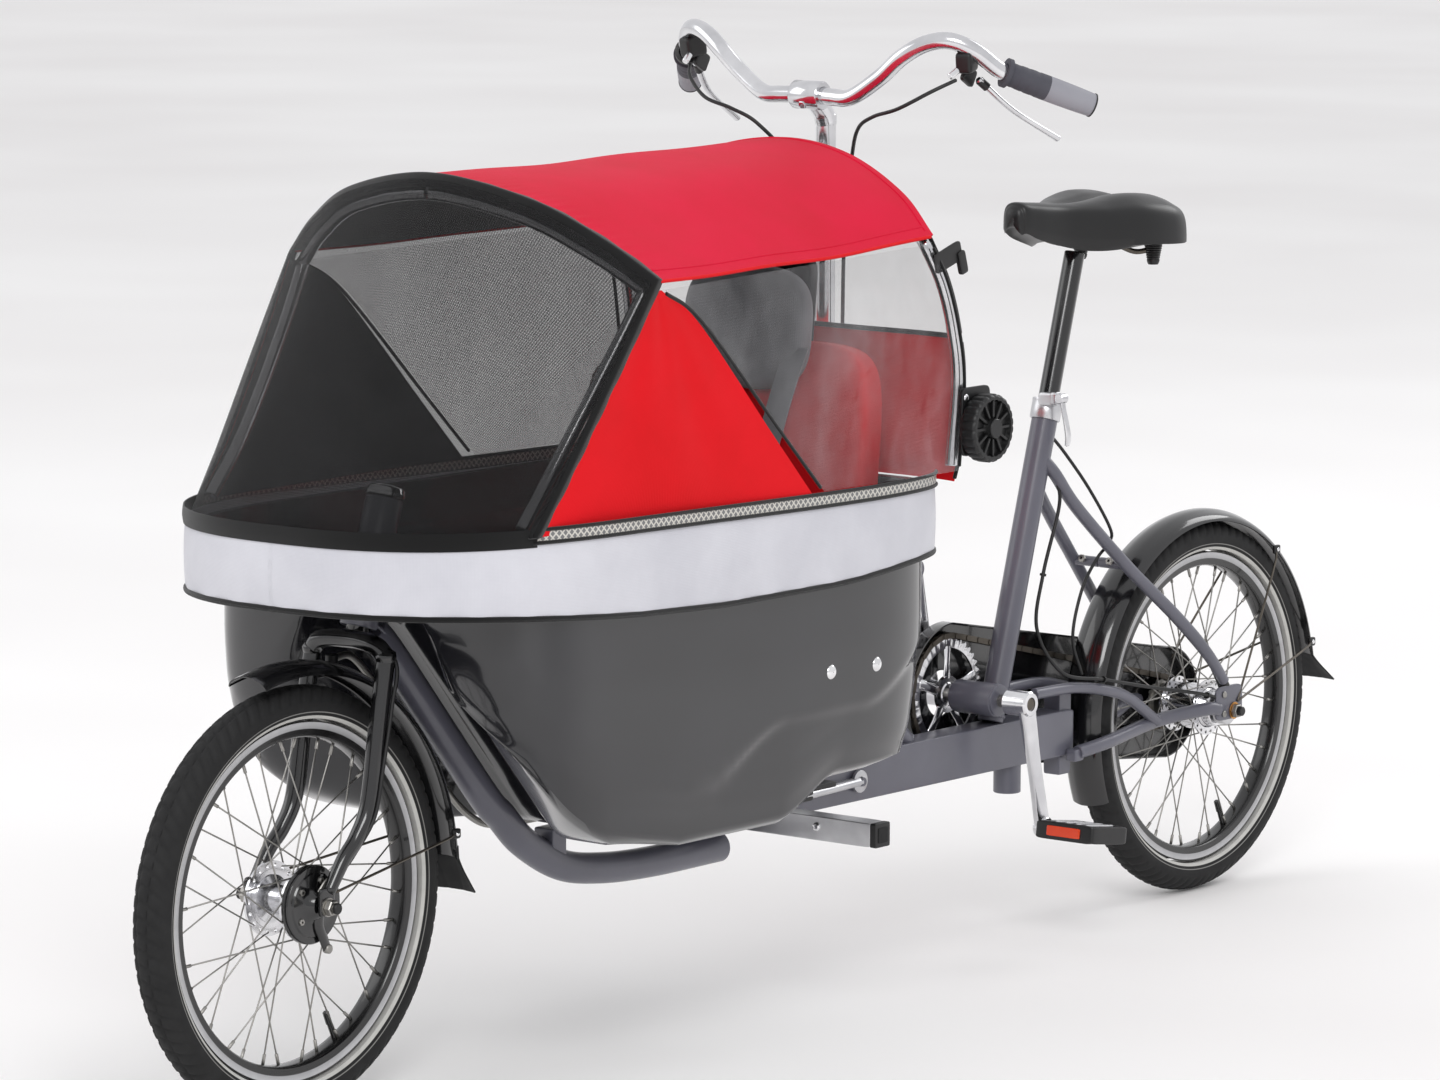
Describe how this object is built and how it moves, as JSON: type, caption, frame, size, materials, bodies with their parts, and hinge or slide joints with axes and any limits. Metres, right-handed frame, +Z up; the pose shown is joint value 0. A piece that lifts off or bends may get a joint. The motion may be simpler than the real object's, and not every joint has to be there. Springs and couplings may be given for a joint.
{
  "type": "cargo bicycle",
  "caption": "Front-loading cargo bicycle with a low child tub between the wheels, fabric canopy with clear windows, linkage steering, chain case and folding parking stand.",
  "frame": {"origin": "on the ground under the middle of the bicycle's bounding box", "axes": "+Z up, +X the rider's left, -Y forward, with both wheels on the plane X = 0"},
  "size_m": [0.6582, 2.3672, 1.2038],
  "materials": {
    "frame_paint": "satin slate grey powder coat",
    "black_paint": "gloss black",
    "black_plastic": "moulded black",
    "tub_shell": "glossy charcoal moulded shell",
    "silver_metal": "polished and brushed",
    "steel_drive": "plain steel",
    "tyre_rubber": "black with light sidewall stripe",
    "rim_black": "black anodised, bare brake track",
    "red_fabric": "coated woven polyester",
    "light_fabric": "silver grey coated woven polyester",
    "black_mesh": "see-through woven screen",
    "clear_film": "soft clear vinyl",
    "grey_rubber": "two-tone moulded",
    "saddle_skin": "satin black grained cover"
  },
  "bodies": {
    "frame": {"head_tube": "frame_paint", "down_tube": "frame_paint", "low_beam": "frame_paint", "bottom_bracket_shell": "frame_paint", "seat_tube": "frame_paint", "seat_stay_left": "frame_paint", "seat_stay_right": "frame_paint", "chain_stay_left": "frame_paint", "chain_stay_right": "frame_paint", "column_housing": "frame_paint", "rear_mudguard": "black_paint", "chain_case": "black_paint", "chain": "steel_drive", "rear_axle": "silver_metal", "seat_clamp": "silver_metal", "tub": "tub_shell", "skirt": "light_fabric", "front_hoop": "silver_metal", "rear_hoop": "silver_metal", "canopy_roof": "red_fabric", "front_screen": "black_mesh", "side_panel_left": "red_fabric", "side_panel_right": "red_fabric", "side_window_left": "clear_film", "side_window_right": "clear_film", "rear_panel": "light_fabric", "bench_seat": "red_fabric"},
    "fork": {"fork": "black_paint", "front_mudguard": "black_paint", "front_brake_plate": "silver_metal"},
    "front_wheel": {"front_tyre": "tyre_rubber", "front_rim": "rim_black", "front_spokes": "silver_metal", "front_hub": "silver_metal"},
    "rear_wheel": {"rear_tyre": "tyre_rubber", "rear_rim": "rim_black", "rear_spokes": "silver_metal", "rear_hub": "silver_metal"},
    "sprocket": {"rear_sprocket": "steel_drive"},
    "crankset": {"crank_left": "silver_metal", "crank_right": "silver_metal", "chainring": "steel_drive"},
    "pedal_l": {"pedal_left": "black_plastic"},
    "pedal_r": {"pedal_right": "black_plastic"},
    "steering": {"steering_column": "silver_metal", "handlebar": "silver_metal", "grip_left": "grey_rubber", "grip_right": "grey_rubber", "cable_left": "black_plastic", "cable_right": "black_plastic"},
    "lever_l": {"brake_lever_left": "silver_metal"},
    "lever_r": {"brake_lever_right": "silver_metal"},
    "link_joint": {"link_end": "steel_drive"},
    "link": {"steering_link": "black_paint"},
    "seat": {"seatpost": "black_paint", "saddle": "saddle_skin"},
    "clamp": {"clamp_lever": "silver_metal"},
    "stand": {"parking_stand": "silver_metal"},
    "knob_l": {"canopy_knob_left": "black_plastic"},
    "knob_r": {"canopy_knob_right": "black_plastic"}
  },
  "joints": [
    {"name": "fork_steer", "type": "hinge", "parent": "frame", "child": "fork", "pos_m": [0, -0.76425, 0.7], "axis": [0, 0.309, 0.9511], "range_deg": [-24, 24]},
    {"name": "handlebar_steer", "type": "hinge", "parent": "frame", "child": "steering", "pos_m": [0, 0.06775, 0.7], "axis": [0, 0, 1], "range_deg": [-24, 24]},
    {"name": "link_yaw", "type": "hinge", "parent": "steering", "child": "link_joint", "pos_m": [-0.06, 0.10775, 0.2949], "axis": [0, 0, 1], "range_deg": [-24, 24]},
    {"name": "link_pitch", "type": "hinge", "parent": "link_joint", "child": "link", "pos_m": [-0.06, 0.10775, 0.3049], "axis": [-1, 0, 0], "range_deg": [-2, 2]},
    {"name": "front_wheel_spin", "type": "hinge", "parent": "fork", "child": "front_wheel", "pos_m": [0, -0.93375, 0.25], "axis": [1, 0, 0], "continuous": true},
    {"name": "rear_wheel_spin", "type": "hinge", "parent": "frame", "child": "rear_wheel", "pos_m": [0, 0.88125, 0.25], "axis": [1, 0, 0], "continuous": true},
    {"name": "crank_spin", "type": "hinge", "parent": "frame", "child": "crankset", "pos_m": [0, 0.39675, 0.32], "axis": [1, 0, 0], "continuous": true},
    {"name": "sprocket_spin", "type": "hinge", "parent": "frame", "child": "sprocket", "pos_m": [0, 0.88125, 0.25], "axis": [1, 0, 0], "continuous": true},
    {"name": "pedal_left_spin", "type": "hinge", "parent": "crankset", "child": "pedal_l", "pos_m": [0.076, 0.43435, 0.1547], "axis": [1, 0, 0], "continuous": true},
    {"name": "pedal_right_spin", "type": "hinge", "parent": "crankset", "child": "pedal_r", "pos_m": [-0.076, 0.35915, 0.4853], "axis": [1, 0, 0], "continuous": true},
    {"name": "brake_lever_left_pull", "type": "hinge", "parent": "steering", "child": "lever_l", "pos_m": [0.22, 0.08575, 1.146], "axis": [0.2653, -0.5658, -0.7807], "range_deg": [0, 14], "stiffness_Nm_per_rad": 0.6, "springref_deg": -20.05},
    {"name": "brake_lever_right_pull", "type": "hinge", "parent": "steering", "child": "lever_r", "pos_m": [-0.22, 0.08575, 1.146], "axis": [0.2653, 0.5658, 0.7807], "range_deg": [0, 14], "stiffness_Nm_per_rad": 0.6, "springref_deg": -20.05},
    {"name": "seatpost_slide", "type": "slide", "parent": "frame", "child": "seat", "axis": [0, 0.2861, 0.9582], "range_m": [-0.1, 0.04]},
    {"name": "clamp_lever_open", "type": "hinge", "parent": "frame", "child": "clamp", "pos_m": [0.036, 0.52375, 0.7], "axis": [0, -1, 0], "range_deg": [0, 150]},
    {"name": "stand_fold", "type": "hinge", "parent": "frame", "child": "stand", "pos_m": [0, 0.11075, 0.252], "axis": [1, 0, 0], "range_deg": [0, 90]},
    {"name": "knob_left_turn", "type": "hinge", "parent": "frame", "child": "knob_l", "pos_m": [0.29, 0.01175, 0.73], "axis": [1, 0, 0], "range_deg": [-180, 180]},
    {"name": "knob_right_turn", "type": "hinge", "parent": "frame", "child": "knob_r", "pos_m": [-0.29, 0.01175, 0.73], "axis": [1, 0, 0], "range_deg": [-180, 180]}
  ],
  "couplings": [
    {"joint": "handlebar_steer", "follows": "fork_steer", "ratio": 1},
    {"joint": "link_yaw", "follows": "fork_steer", "ratio": -1},
    {"joint": "link_pitch", "follows": "fork_steer", "ratio": 0.0205},
    {"joint": "sprocket_spin", "follows": "crank_spin", "ratio": 2.2353}
  ]
}
